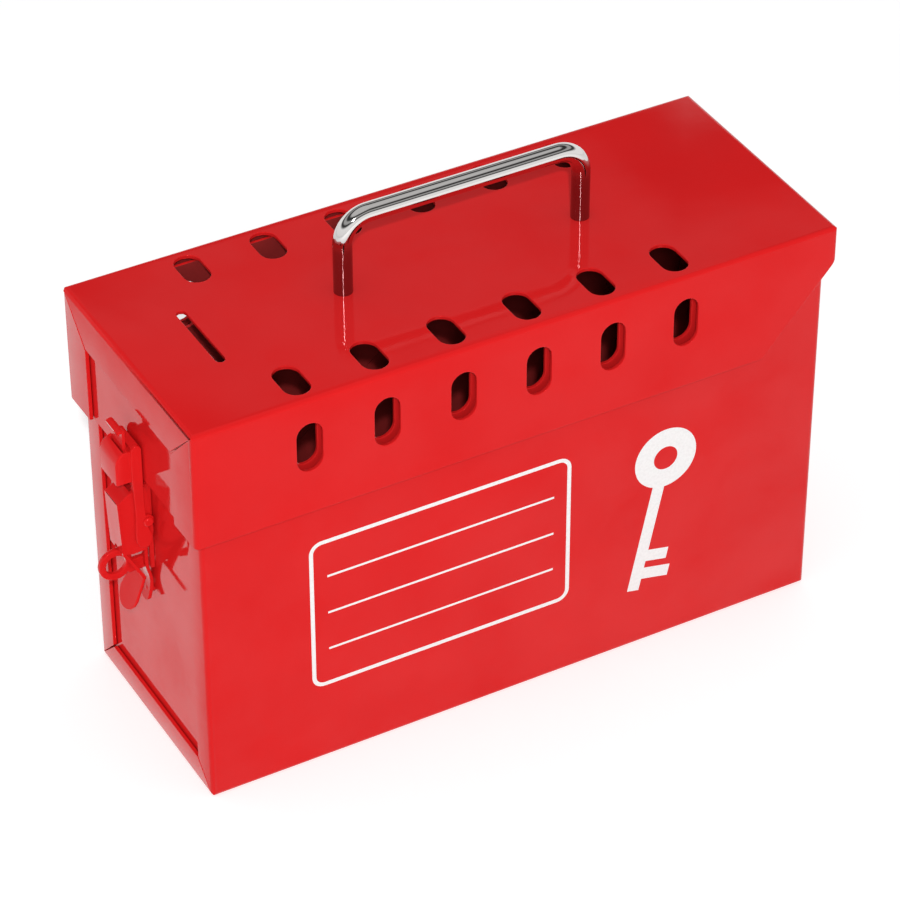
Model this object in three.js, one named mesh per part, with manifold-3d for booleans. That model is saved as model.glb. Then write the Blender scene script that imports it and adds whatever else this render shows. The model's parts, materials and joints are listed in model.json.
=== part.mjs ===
// A portable group lockout box: a folded steel body, a hinged slotted lid with a carrying handle,
// and a draw latch with a padlock eye on the end away from the hinge.
// Millimetres, +Z up. The origin is the centre of the underside of the footprint,
// +X runs along the length towards the hinge and the latch is at the -X end.
import * as THREE from 'three';
import { mergeVertices } from 'three/addons/utils/BufferGeometryUtils.js';
import Module from 'manifold-3d';

const wasm = await Module();
wasm.setup();

// Box
const lidLength = 258;
const lidWidth = 102;
const boxHeight = 166;
const sheet = 1.5;
const bendRadius = 2;
const skirtDepth = 48;
const seatGap = 0.3;
const latchEndClearance = 0.5;
const hingeEndClearance = 0.6;
const sideClearance = 3;
const topClearance = 1;

// Folded tabs round the ends, and the open mitred seams between them
const lidTab = 17;
const bodyTab = 11;
const hingeFlange = 14;
const skirtCutRun = 30;
const seamWidth = 0.7;
const seamStop = 1.2;

// Shackle slots and the key slot
const slotCount = 6;
const slotPitch = 30;
const slotRowFromLatchEnd = 119.5;
const slotWidth = 10;
const topSlotLength = 17.5;
const topSlotInset = 13;
const sideSlotHeight = 20;
const sideSlotDrop = 10;
const keySlotFromLatchEnd = 29;
const keySlotWidth = 3.6;
const keySlotLength = 34;

// Carrying handle
const handleFromLatchEnd = 132.5;
const handleSpan = 96;
const handleRod = 7;
const handleHeight = 33.5;
const handleBend = 10;
const handleBore = 4.2;
const handleBoreDepth = 14;
const handleScrewShank = 3.9;
const handleScrewDepth = 10;
const handleScrewHead = 7.5;
const handleScrewHeadHeight = 2.4;
const handleWasher = 10;
const handleWasherThickness = 1;
const screwHoleClearance = 0.25;
const domeShare = 0.3;
const crossDepthShare = 0.5;
const crossReachShare = 0.28;
const crossWidthShare = 0.08;

// Lid hinge on the +X end, between the body's tabs
const hingeTabGap = 1.5;
const hingeKnuckles = 5;
const hingeKnuckleGap = 0.4;
const hingeKnuckleRadius = 2.3;
const hingePinRadius = 1.1;
const hingePinClearance = 0.15;
const hingeLeaf = 1.2;
const hingeLeafHeight = 19;
const hingeLidLeafHeight = 12;
const hingePinHead = 1.7;
const hingePinHeadLength = 0.8;
const hingeRivetPitchShare = 0.35;
const hingeBodyRivetShare = 0.63;
const hingeLidRivetShare = 0.67;

// Rivets
const rivetShank = 1.4;
const rivetHead = 2.1;
const rivetHeadHeight = 1;
const rivetTailHeight = 0.6;
const rivetClearance = 0.15;

// Draw latch on the -X end; every "out" is a distance from the body's end plate
const latchPlate = 1.2;
const latchPinRadius = 1.1;
const latchPinClearance = 0.15;
const latchPinHeadRadius = 1.9;
const latchPinHeadLength = 0.9;
const latchSideGap = 0.35;
const latchBend = 2;

// Pivots: the lever's hangs below the skirt, and the link's below the lever's
const leverPivotOut = 5.2;
const leverPivotDrop = 6;
const linkPivotOut = 3.3;
const linkPivotBelow = 12;

// Base strap with two ears
const baseThickness = 1.5;
const baseAbovePivot = 4.5;
const baseBelowEye = 20;
const baseTailLength = 10.5;
const baseTailShare = 0.65;
const baseCorner = 2.2;
const baseRivetInset = 4;
const earThickness = 1.5;
const earRadius = 2.3;
const earRootShare = 1.9;

// Lever: a deep channel that steps in over the padlock eye and flares out to a finger tongue
const leverHalfWidth = 5.2;
const leverFaceTopOut = 14;
const leverFaceTopDrop = 2.5;
const leverFaceLowOut = 12.95;
const leverFaceLowDrop = 25;
const leverWaistOut = 5.9;
const leverTipOut = 12.8;
const leverTongueLength = 14.6;
const leverTongueHalfWidth = 6.4;
const leverPivotRim = 2.7;
const leverHeelOut = 0.7;
const leverHeelBend = 3.6;
const leverHeelRun = 9;
const leverSlotClearance = 0.8;

// Padlock eye: a ring on a neck, and a foot riveted over the base
const eyeOut = 14;
const eyeDrop = 32;
const eyeRadius = 6.5;
const eyeHole = 3.85;
const eyeThickness = 2;
const eyeNeckHeight = 6;
const eyeNeckDrop = 2.5;
const eyeFootHalfWidth = 3.4;
const eyeFootAbove = 12;
const eyeFootBelow = 13;
const eyeFootThickness = 1.6;
const eyeFootTaper = 8;
const eyeRivetAbove = 7.5;

// Link: two arms, a flared front plate and the bar that the hook holds
const linkLength = 33.1;
const linkBarOut = 5.6;
const linkBarDepth = 1.2;
const linkBarRim = 0.9;
const linkArmWidth = 1.5;
const linkArmRadius = 2.6;
const linkArmFront = 8.4;
const linkArmBack = 4.9;
const linkArmNeckRise = 18.5;
const linkFaceOut = 14.2;
const linkFaceRise = 19.6;
const linkFaceBendRise = 28.6;
const linkFaceTopOut = 11.7;
const linkFaceTopRise = 31.8;
const linkFootOut = 4.5;
const linkFootBelow = 7.6;
const linkFootRadius = 2.9;

// Keeper hook on the lid
const keeperHalfWidth = 5.2;
const keeperInset = 1.6;
const keeperCorner = 2;
const keeperRivetRise = 5;
const keeperRivetSpread = 5.2;
const hookHalfWidth = 4.5;
const hookGap = 0.35;
const hookBend = 0.8;
const hookLipOut = 9.7;
const hookLipRise = 7.1;
const hookRollOut = 12;
const hookRollDrop = 0.8;

// Cuts reach this far past the faces they open, and screwed or pinned faces keep the foot gap
const overrun = 1;
const footGap = 0.1;

// Facets: steps to each full or half turn of a disc or slot end, to a bend, and to a turned piece
const arcSteps = 5;
const smallArcSteps = 2;
const domeSteps = 3;
const roundSteps = 16;
const pinSteps = 9;
const handleBendSteps = 8;
const bendSteps = 4;

// Places that follow from the sizes
const lidLeft = -lidLength / 2;
const lidRight = lidLength / 2;
const lidHalf = lidWidth / 2;
const skirtBottom = boxHeight - skirtDepth;
const lidPlateFace = lidLeft + sheet + seatGap;
const bodyLeft = lidPlateFace + sheet + latchEndClearance;
const bodyRight = lidRight - sheet - hingeEndClearance;
const bodyHalf = lidHalf - sheet - sideClearance;
const bodyTop = boxHeight - sheet - topClearance;
const bodyPlateLeft = bodyLeft + sheet + seatGap;
const bodyPlateRight = bodyRight - sheet - seatGap;
const flangeBottom = boxHeight - hingeFlange;
const slotPlaces = Array.from(
  { length: slotCount },
  (_, k) => lidLeft + slotRowFromLatchEnd + (k - (slotCount - 1) / 2) * slotPitch,
);
const sideSlotMiddle = boxHeight - sideSlotDrop - sideSlotHeight / 2;
const topSlotMiddle = lidHalf - topSlotInset;
const handleX = lidLeft + handleFromLatchEnd;
const hingeX = bodyPlateRight + seatGap + hingeKnuckleRadius;
const hingeZ = flangeBottom - seatGap - hingeKnuckleRadius;
const hingeHalf = bodyHalf - bodyTab - hingeTabGap;
const handleFeet = [handleX - handleSpan / 2, handleX + handleSpan / 2];
const hingeLidRivetZ = hingeZ + hingeLidLeafHeight * hingeLidRivetShare;
const hingeRivetRow = [-1, 0, 1].map((way) => way * 2 * hingeHalf * hingeRivetPitchShare);
const hingeLidRivets = hingeRivetRow.map((y) => [y, hingeLidRivetZ]);
const hingeBodyRivets = hingeRivetRow.map((y) => [y, hingeZ - hingeLeafHeight * hingeBodyRivetShare]);

// Heights of the latch, all hung from the skirt's lower edge
const leverPivotHeight = skirtBottom - leverPivotDrop;
const linkPivotHeight = leverPivotHeight - linkPivotBelow;
const eyeHeight = leverPivotHeight - eyeDrop;
const eyeFootTop = eyeHeight + eyeFootAbove;
const baseHalfWidth = leverHalfWidth - latchPlate - seatGap;
const baseFrontOut = seatGap + baseThickness;
const baseTop = leverPivotHeight + baseAbovePivot;
const baseBottom = eyeHeight - baseBelowEye;
const leverWaistHeight = eyeHeight - eyeRadius + leverSlotClearance;
const leverTipHeight = leverWaistHeight - leverTongueLength;
const linkTop = linkPivotHeight + linkLength;
const linkInner = leverHalfWidth + latchSideGap;
const linkOuter = linkInner + linkArmWidth;
const keeperBottom = skirtBottom + keeperInset;
const latchBaseRivets = [
  [0, baseBottom + baseRivetInset], [0, (eyeFootTop + linkPivotHeight) / 2],
];
const eyeRivetPlace = [0, eyeHeight + eyeRivetAbove];
const bodyLatchRivets = [...latchBaseRivets, eyeRivetPlace];
const keeperRivetPlaces = [-1, 1].map((way) => [
  way * keeperRivetSpread / 2, keeperBottom + keeperRivetRise,
]);

// Materials
const redPaint = new THREE.MeshStandardMaterial({ color: 0xd92b2b, roughness: 0.25, metalness: 0 });
const chromePlate = new THREE.MeshStandardMaterial({ color: 0xdcdde0, roughness: 0.08, metalness: 1 });
const zincSteel = new THREE.MeshStandardMaterial({ color: 0xb4b6ba, roughness: 0.35, metalness: 1 });

const box = new THREE.Group();

function addPiece(name, solid, material) {
  const found = solid.getMesh();
  const geometry = new THREE.BufferGeometry();
  geometry.setAttribute('position', new THREE.BufferAttribute(found.vertProperties, found.numProp));
  geometry.setIndex(new THREE.BufferAttribute(found.triVerts, 1));
  geometry.computeVertexNormals();
  const mesh = new THREE.Mesh(geometry, material);
  mesh.name = name;
  box.add(mesh);
}

// Solids from three.js geometry
function solidOf(geometry) {
  geometry.deleteAttribute('normal');
  geometry.deleteAttribute('uv');
  const merged = mergeVertices(geometry);
  return new wasm.Manifold(new wasm.Mesh({
    numProp: merged.attributes.position.itemSize,
    vertProperties: new Float32Array(merged.attributes.position.array),
    triVerts: new Uint32Array(merged.index.array),
  }));
}

function block(x0, x1, y0, y1, z0, z1) {
  const geometry = new THREE.BoxGeometry(x1 - x0, y1 - y0, z1 - z0);
  geometry.translate((x0 + x1) / 2, (y0 + y1) / 2, (z0 + z1) / 2);
  return solidOf(geometry);
}

// Shapes drawn in (x, y), (y, z) or (x, z) and pulled along the third axis
function extrude(shape, depth, steps) {
  return new THREE.ExtrudeGeometry(shape, { depth, bevelEnabled: false, curveSegments: steps });
}

function alongZ(shape, z0, z1, steps = arcSteps) {
  const geometry = extrude(shape, z1 - z0, steps);
  geometry.translate(0, 0, z0);
  return solidOf(geometry);
}

function alongX(shape, x0, x1, steps = arcSteps) {
  const geometry = extrude(shape, x1 - x0, steps);
  geometry.rotateX(Math.PI / 2);
  geometry.rotateZ(Math.PI / 2);
  geometry.translate(x0, 0, 0);
  return solidOf(geometry);
}

function alongY(shape, y0, y1, steps = arcSteps) {
  const geometry = extrude(shape, y1 - y0, steps);
  geometry.rotateX(Math.PI / 2);
  geometry.translate(0, y1, 0);
  return solidOf(geometry);
}

function outline(points) {
  return new THREE.Shape(points.map(([u, v]) => new THREE.Vector2(u, v)));
}

function disc(u, v, radius) {
  const shape = new THREE.Shape();
  shape.absarc(u, v, radius, 0, 2 * Math.PI, false);
  return shape;
}

// An obround with its long side along v when it is taller than it is wide
function obround(u, v, width, height) {
  const radius = Math.min(width, height) / 2;
  const alongU = Math.max(width / 2 - radius, 0);
  const alongV = Math.max(height / 2 - radius, 0);
  const shape = new THREE.Shape();
  const upright = height >= width;
  const turn = upright ? 0 : -Math.PI / 2;
  shape.absarc(u + alongU, v + alongV, radius, turn, turn + Math.PI, false);
  shape.absarc(u - alongU, v - alongV, radius, turn + Math.PI, turn + 2 * Math.PI, false);
  return shape;
}

// A rectangle with its own radius at the low and at the high corners
function roundedRect(u0, u1, v0, v1, lowRadius, highRadius) {
  const shape = new THREE.Shape();
  shape.moveTo(u0 + lowRadius, v0);
  shape.lineTo(u1 - lowRadius, v0);
  if (lowRadius > 0) shape.absarc(u1 - lowRadius, v0 + lowRadius, lowRadius, -Math.PI / 2, 0, false);
  shape.lineTo(u1, v1 - highRadius);
  if (highRadius > 0) {
    shape.absarc(u1 - highRadius, v1 - highRadius, highRadius, 0, Math.PI / 2, false);
  }
  shape.lineTo(u0 + highRadius, v1);
  if (highRadius > 0) {
    shape.absarc(u0 + highRadius, v1 - highRadius, highRadius, Math.PI / 2, Math.PI, false);
  }
  shape.lineTo(u0, v0 + lowRadius);
  if (lowRadius > 0) {
    shape.absarc(u0 + lowRadius, v0 + lowRadius, lowRadius, Math.PI, 1.5 * Math.PI, false);
  }
  return shape;
}

function joined(solids) {
  return solids.reduce((whole, part) => whole.add(part));
}

function cutBy(solid, tools) {
  return tools.length ? solid.subtract(joined(tools)) : solid;
}

// Two rows of shackle slots through the long walls, one row a side
function sideSlots(half) {
  return slotPlaces.flatMap((x) => [-1, 1].map((side) => {
    const wall = side * (half - sheet / 2);
    return alongY(
      obround(x, sideSlotMiddle, slotWidth, sideSlotHeight), wall - sheet - overrun, wall + sheet + overrun,
    );
  }));
}

// An open seam from a corner towards the middle of an end, at 45 degrees
function mitreSeam(x0, x1, side, cornerY, cornerZ, down, length) {
  const reach = Math.SQRT1_2 * seamWidth / 2;
  const near = seamStop;
  const far = length + overrun;
  const at = (along, across) => [
    side * (cornerY - along - across * reach), cornerZ - down * (along - across * reach),
  ];
  return alongX(outline([at(near, 0), at(far, 1), at(far, -1)]), x0, x1);
}

// A rivet along X with its domed head at the low end when the head faces -X
function rivet(headX, tailX, y, z) {
  const toTail = Math.sign(tailX - headX);
  const grip = Math.abs(tailX - headX);
  const profile = [new THREE.Vector2(0, -rivetHeadHeight)];
  for (let k = 1; k <= domeSteps; k += 1) {
    const angle = (Math.PI / 2) * (k / domeSteps);
    profile.push(new THREE.Vector2(rivetHead * Math.sin(angle), -rivetHeadHeight * Math.cos(angle)));
  }
  profile.push(
    new THREE.Vector2(rivetShank, 0),
    new THREE.Vector2(rivetShank, grip),
    new THREE.Vector2(rivetHead, grip),
    new THREE.Vector2(rivetHead, grip + rivetTailHeight),
    new THREE.Vector2(0, grip + rivetTailHeight),
  );
  const geometry = new THREE.LatheGeometry(profile, roundSteps);
  geometry.rotateZ(-toTail * Math.PI / 2);
  geometry.translate(headX, y, z);
  return solidOf(geometry);
}

function rivetHole(x0, x1, y, z) {
  return alongX(disc(y, z, rivetShank + rivetClearance), x0 - overrun, x1 + overrun);
}

function pinAlongY(x, z, radius, y0, y1) {
  return alongY(disc(x, z, radius), y0, y1, pinSteps);
}

// The flat outline that wraps a set of points, for straps and cheeks between pivots
function wrapped(points) {
  const sorted = [...points].sort((a, b) => a[0] - b[0] || a[1] - b[1]);
  const turn = (a, b, c) => (b[0] - a[0]) * (c[1] - a[1]) - (b[1] - a[1]) * (c[0] - a[0]);
  const chain = (list) => {
    const kept = [];
    list.forEach((point) => {
      while (kept.length > 1 && turn(kept[kept.length - 2], kept[kept.length - 1], point) <= 0) kept.pop();
      kept.push(point);
    });
    return kept.slice(0, -1);
  };
  return outline([...chain(sorted), ...chain(sorted.reverse())]);
}

function ringPoints(u, v, radius) {
  return Array.from({ length: roundSteps }, (_, k) => {
    const angle = (2 * Math.PI * k) / roundSteps;
    return [u + radius * Math.cos(angle), v + radius * Math.sin(angle)];
  });
}

// Lid: one folded sheet with a top, two skirts, mitred tabs at the latch end and a hinge flange
function lidShell() {
  const side = new THREE.Shape();
  side.moveTo(lidLeft, skirtBottom);
  side.lineTo(lidRight - skirtCutRun, skirtBottom);
  side.lineTo(lidRight, flangeBottom);
  side.lineTo(lidRight, boxHeight - bendRadius);
  side.absarc(lidRight - bendRadius, boxHeight - bendRadius, bendRadius, 0, Math.PI / 2, false);
  side.lineTo(lidLeft + bendRadius, boxHeight);
  side.absarc(lidLeft + bendRadius, boxHeight - bendRadius, bendRadius, Math.PI / 2, Math.PI, false);
  const end = roundedRect(-lidHalf, lidHalf, skirtBottom, boxHeight, 0, bendRadius);
  const plan = roundedRect(lidLeft, lidRight, -lidHalf, lidHalf, bendRadius, bendRadius);
  const outer = alongY(side, -lidHalf, lidHalf, smallArcSteps)
    .intersect(alongX(end, lidLeft, lidRight, smallArcSteps))
    .intersect(alongZ(plan, skirtBottom, boxHeight, smallArcSteps));
  const innerHalf = lidHalf - sheet;
  const cuts = [
    block(
      lidLeft + sheet, lidRight - sheet, -innerHalf, innerHalf,
      skirtBottom - overrun, boxHeight - sheet,
    ),
    block(
      lidLeft - overrun, lidLeft + sheet + overrun, -(lidHalf - lidTab), lidHalf - lidTab,
      skirtBottom - overrun, boxHeight - lidTab,
    ),
    block(
      lidRight - sheet - overrun, lidRight + overrun, -innerHalf, innerHalf,
      skirtBottom - overrun, flangeBottom,
    ),
    ...sideSlots(lidHalf),
  ];
  slotPlaces.forEach((x) => [-1, 1].forEach((sideOfLid) => {
    const slot = obround(x, sideOfLid * topSlotMiddle, slotWidth, topSlotLength);
    cuts.push(alongZ(slot, boxHeight - sheet - overrun, boxHeight + overrun));
  }));
  const keySlot = obround(lidLeft + keySlotFromLatchEnd, 0, keySlotWidth, keySlotLength);
  cuts.push(alongZ(keySlot, boxHeight - sheet - overrun, boxHeight + overrun, smallArcSteps));
  [-1, 1].forEach((way) => {
    cuts.push(mitreSeam(lidLeft - overrun, lidLeft + sheet, way, lidHalf, boxHeight, 1, lidTab));
    const seamEdge = way * innerHalf;
    const seamOther = way * (innerHalf - seamWidth);
    cuts.push(block(
      lidRight - sheet, lidRight + overrun, Math.min(seamEdge, seamOther), Math.max(seamEdge, seamOther),
      flangeBottom - overrun, boxHeight - sheet,
    ));
    const hole = disc(handleX + way * handleSpan / 2, 0, handleScrewShank / 2 + screwHoleClearance);
    cuts.push(alongZ(hole, boxHeight - sheet - overrun, boxHeight + overrun));
    cuts.push(alongX(
      disc(way * hingeRivetRow[2], hingeLidRivetZ, rivetShank + rivetClearance),
      lidRight - sheet - overrun, lidRight + overrun,
    ));
  });
  cuts.push(rivetHole(lidRight - sheet, lidRight, 0, hingeLidRivetZ));
  return cutBy(outer, cuts);
}

function lidEndPlate() {
  const half = lidHalf - sheet - seatGap;
  const top = boxHeight - sheet - seatGap;
  const plate = block(lidPlateFace, lidPlateFace + sheet, -half, half, skirtBottom, top);
  return cutBy(plate, keeperRivetPlaces.map(
    ([y, z]) => rivetHole(lidPlateFace, lidPlateFace + sheet, y, z),
  ));
}

// Body: one folded sheet with a floor and two long walls, and mitred tabs round both ends
function bodyShell() {
  const side = roundedRect(bodyLeft, bodyRight, 0, bodyTop, bendRadius, 0);
  const end = roundedRect(-bodyHalf, bodyHalf, 0, bodyTop, bendRadius, 0);
  const plan = roundedRect(bodyLeft, bodyRight, -bodyHalf, bodyHalf, bendRadius, bendRadius);
  const outer = alongY(side, -bodyHalf, bodyHalf, smallArcSteps)
    .intersect(alongX(end, bodyLeft, bodyRight, smallArcSteps))
    .intersect(alongZ(plan, 0, bodyTop, smallArcSteps));
  const innerHalf = bodyHalf - sheet;
  const windowHalf = bodyHalf - bodyTab;
  const cuts = [
    block(bodyLeft + sheet, bodyRight - sheet, -innerHalf, innerHalf, sheet, bodyTop + overrun),
    block(bodyLeft - overrun, bodyRight + overrun, -windowHalf, windowHalf, bodyTab, bodyTop + overrun),
    ...sideSlots(bodyHalf),
  ];
  [-1, 1].forEach((way) => {
    cuts.push(mitreSeam(bodyLeft - overrun, bodyLeft + sheet, way, bodyHalf, 0, -1, bodyTab));
    cuts.push(mitreSeam(bodyRight - sheet, bodyRight + overrun, way, bodyHalf, 0, -1, bodyTab));
  });
  return cutBy(outer, cuts);
}

function bodyEndPlate(x0, places) {
  const half = bodyHalf - sheet - seatGap;
  const plate = block(x0, x0 + sheet, -half, half, sheet + seatGap, bodyTop);
  return cutBy(plate, places.map(([y, z]) => rivetHole(x0, x0 + sheet, y, z)));
}

// Handle: a bent round rod with a tapped bore in each foot, screwed on from inside the lid
class HandlePath extends THREE.Curve {
  constructor(bendSteps) {
    super();
    this.bendSteps = bendSteps;
    this.steps = 2 * bendSteps + 3;
  }

  getPoint(t) {
    const k = Math.min(t, 1 - t) * this.steps;
    const way = t < 0.5 ? -1 : 1;
    const top = boxHeight + handleHeight - handleRod / 2;
    const half = handleSpan / 2;
    const bendStart = top - handleBend;
    const foot = boxHeight + footGap;
    if (k <= 1) return new THREE.Vector3(handleX + way * half, 0, foot + k * (bendStart - foot));
    const bent = (k - 1) / this.bendSteps;
    if (bent <= 1) {
      const angle = bent * Math.PI / 2;
      const across = half - handleBend + handleBend * Math.cos(angle);
      return new THREE.Vector3(handleX + way * across, 0, bendStart + handleBend * Math.sin(angle));
    }
    const middle = 2 * (k - 1 - this.bendSteps);
    return new THREE.Vector3(handleX + way * (half - handleBend) * (1 - middle), 0, top);
  }

  getPointAt(u) {
    return this.getPoint(u);
  }

  getTangentAt(u, target) {
    return this.getTangent(u, target);
  }
}

function handleRodSolid() {
  const path = new HandlePath(handleBendSteps);
  const geometry = new THREE.ExtrudeGeometry(disc(0, 0, handleRod / 2), {
    extrudePath: path, steps: path.steps, curveSegments: pinSteps, bevelEnabled: false,
  });
  const bores = handleFeet.map((x) => alongZ(
    disc(x, 0, handleBore / 2), boxHeight + footGap - overrun, boxHeight + footGap + handleBoreDepth,
  ));
  return cutBy(solidOf(geometry), bores);
}

function handleScrew(x) {
  const seat = boxHeight - sheet - footGap - handleWasherThickness - footGap;
  const dome = handleScrewHeadHeight * domeShare;
  const profile = [
    new THREE.Vector2(0, seat - handleScrewHeadHeight),
    new THREE.Vector2(handleScrewHead / 2 - dome, seat - handleScrewHeadHeight),
    new THREE.Vector2(handleScrewHead / 2, seat - handleScrewHeadHeight + dome),
    new THREE.Vector2(handleScrewHead / 2, seat),
    new THREE.Vector2(handleScrewShank / 2, seat),
    new THREE.Vector2(handleScrewShank / 2, boxHeight + handleScrewDepth),
    new THREE.Vector2(0, boxHeight + handleScrewDepth),
  ];
  const geometry = new THREE.LatheGeometry(profile, roundSteps);
  geometry.rotateX(Math.PI / 2);
  geometry.translate(x, 0, 0);
  const crossDepth = handleScrewHeadHeight * crossDepthShare;
  const reach = handleScrewHead * crossReachShare;
  const arm = handleScrewHead * crossWidthShare;
  const low = seat - handleScrewHeadHeight;
  return cutBy(solidOf(geometry), [
    block(x - reach, x + reach, -arm, arm, low - overrun, low + crossDepth),
    block(x - arm, x + arm, -reach, reach, low - overrun, low + crossDepth),
  ]);
}

function handleWasherSolid(x) {
  const top = boxHeight - sheet - footGap;
  const ring = alongZ(disc(x, 0, handleWasher / 2), top - handleWasherThickness, top);
  const hole = disc(x, 0, handleScrewShank / 2 + screwHoleClearance);
  return cutBy(ring, [alongZ(hole, top - handleWasherThickness - overrun, top + overrun)]);
}

// Hinge: two leaves with alternate knuckles on one pin
function knuckleSpans(first) {
  const width = (2 * hingeHalf - (hingeKnuckles - 1) * hingeKnuckleGap) / hingeKnuckles;
  const spans = [];
  for (let k = first; k < hingeKnuckles; k += 2) {
    const start = -hingeHalf + k * (width + hingeKnuckleGap);
    spans.push([start, start + width]);
  }
  return spans;
}

function hingeLeafSolid(first, x0, zNear, zFar, holes) {
  const low = Math.min(zNear, zFar);
  const high = Math.max(zNear, zFar);
  const leaf = block(x0, x0 + hingeLeaf, -hingeHalf, hingeHalf, low, high);
  const reach = hingeKnuckleRadius + hingeKnuckleGap;
  const notches = knuckleSpans(1 - first).map(([y0, y1]) => block(
    x0 - overrun, x0 + hingeLeaf + overrun, y0 - hingeKnuckleGap, y1 + hingeKnuckleGap,
    hingeZ - reach, hingeZ + reach,
  ));
  const knuckles = knuckleSpans(first).map(
    ([y0, y1]) => pinAlongY(hingeX, hingeZ, hingeKnuckleRadius, y0, y1),
  );
  const boreRadius = hingePinRadius + hingePinClearance;
  const bore = pinAlongY(hingeX, hingeZ, boreRadius, -hingeHalf - overrun, hingeHalf + overrun);
  const whole = joined([cutBy(leaf, notches), ...knuckles]);
  return cutBy(whole, [bore, ...holes.map(([y, z]) => rivetHole(x0, x0 + hingeLeaf, y, z))]);
}

function hingePin() {
  const inner = hingeHalf + footGap;
  const outer = inner + hingePinHeadLength;
  return joined([
    pinAlongY(hingeX, hingeZ, hingePinRadius, -outer, outer),
    pinAlongY(hingeX, hingeZ, hingePinHead, -outer, -inner),
    pinAlongY(hingeX, hingeZ, hingePinHead, inner, outer),
  ]);
}

// Latch: distances out are measured from the face of the body's end plate
function outX(out) {
  return bodyPlateLeft - out;
}

function outPoints(pairs) {
  return pairs.map(([out, z]) => [outX(out), z]);
}

// The section of a bent strip: the middle line's corners are rounded, then it gets its thickness
function bentStrip(corners, thickness, bend) {
  const line = [];
  corners.forEach(([u, v], k) => {
    if (k === 0 || k === corners.length - 1) {
      line.push([u, v]);
      return;
    }
    const arms = [corners[k - 1], corners[k + 1]].map(([a, b]) => {
      const length = Math.hypot(a - u, b - v);
      return [(a - u) / length, (b - v) / length];
    });
    const between = Math.acos(arms[0][0] * arms[1][0] + arms[0][1] * arms[1][1]);
    const reach = bend / Math.tan(between / 2);
    for (let step = 0; step <= bendSteps; step += 1) {
      const t = step / bendSteps;
      const near = reach * (1 - t) ** 2;
      const far = reach * t ** 2;
      line.push([u + arms[0][0] * near + arms[1][0] * far, v + arms[0][1] * near + arms[1][1] * far]);
    }
  });
  const side = (way) => line.map(([u, v], k) => {
    const [a, b] = [line[Math.max(k - 1, 0)], line[Math.min(k + 1, line.length - 1)]];
    const length = Math.hypot(b[0] - a[0], b[1] - a[1]);
    const half = way * thickness / 2;
    return [u - half * (b[1] - a[1]) / length, v + half * (b[0] - a[0]) / length];
  });
  return outline([...side(1), ...side(-1).reverse()]);
}

function onBothSides(inner, outer, make) {
  return [-1, 1].map((way) => make(Math.min(way * inner, way * outer), Math.max(way * inner, way * outer)));
}

function latchBase() {
  const back = outX(seatGap);
  const front = outX(baseFrontOut);
  const tailHalf = baseHalfWidth * baseTailShare;
  const tailTop = baseBottom + baseTailLength;
  const strap = alongX(roundedRect(
    -baseHalfWidth, baseHalfWidth, tailTop, baseTop, baseCorner, baseCorner,
  ), front, back, smallArcSteps);
  const tail = alongX(roundedRect(
    -tailHalf, tailHalf, baseBottom, tailTop + baseCorner, tailHalf / 2, 0,
  ), front, back, smallArcSteps);
  const earShape = wrapped([
    ...ringPoints(outX(leverPivotOut), leverPivotHeight, earRadius),
    ...outPoints([
      [seatGap, leverPivotHeight - earRootShare * earRadius], [seatGap, leverPivotHeight + earRadius / 2],
    ]),
  ]);
  const ears = onBothSides(baseHalfWidth - earThickness, baseHalfWidth, (y0, y1) => (
    alongY(earShape, y0, y1)
  ));
  const pinHole = pinAlongY(
    outX(leverPivotOut), leverPivotHeight, latchPinRadius + latchPinClearance,
    -baseHalfWidth - overrun, baseHalfWidth + overrun,
  );
  const holes = bodyLatchRivets.map(([y, z]) => rivetHole(front, back, y, z));
  return cutBy(joined([strap, tail, ...ears]), [pinHole, ...holes]);
}

function padlockEye() {
  const backOut = baseFrontOut + seatGap;
  const frontOut = backOut + eyeFootThickness;
  const half = eyeThickness / 2;
  const ring = alongY(disc(outX(eyeOut), eyeHeight, eyeRadius), -half, half, roundSteps);
  const neckMiddle = eyeHeight - eyeNeckDrop;
  const neck = block(
    outX(eyeOut), outX(backOut), -half, half,
    neckMiddle - eyeNeckHeight / 2, neckMiddle + eyeNeckHeight / 2,
  );
  const footLow = eyeHeight - eyeFootBelow;
  const foot = alongY(outline(outPoints([
    [backOut, footLow],
    [backOut, eyeFootTop],
    [frontOut, eyeFootTop],
    [frontOut, footLow + eyeFootTaper],
    [backOut + eyeFootThickness / 2, footLow],
  ])), -eyeFootHalfWidth, eyeFootHalfWidth);
  const hole = alongY(disc(outX(eyeOut), eyeHeight, eyeHole), -half - overrun, half + overrun, roundSteps);
  return cutBy(joined([ring, neck, foot]), [
    hole, rivetHole(outX(frontOut), outX(backOut), eyeRivetPlace[0], eyeRivetPlace[1]),
  ]);
}

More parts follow.
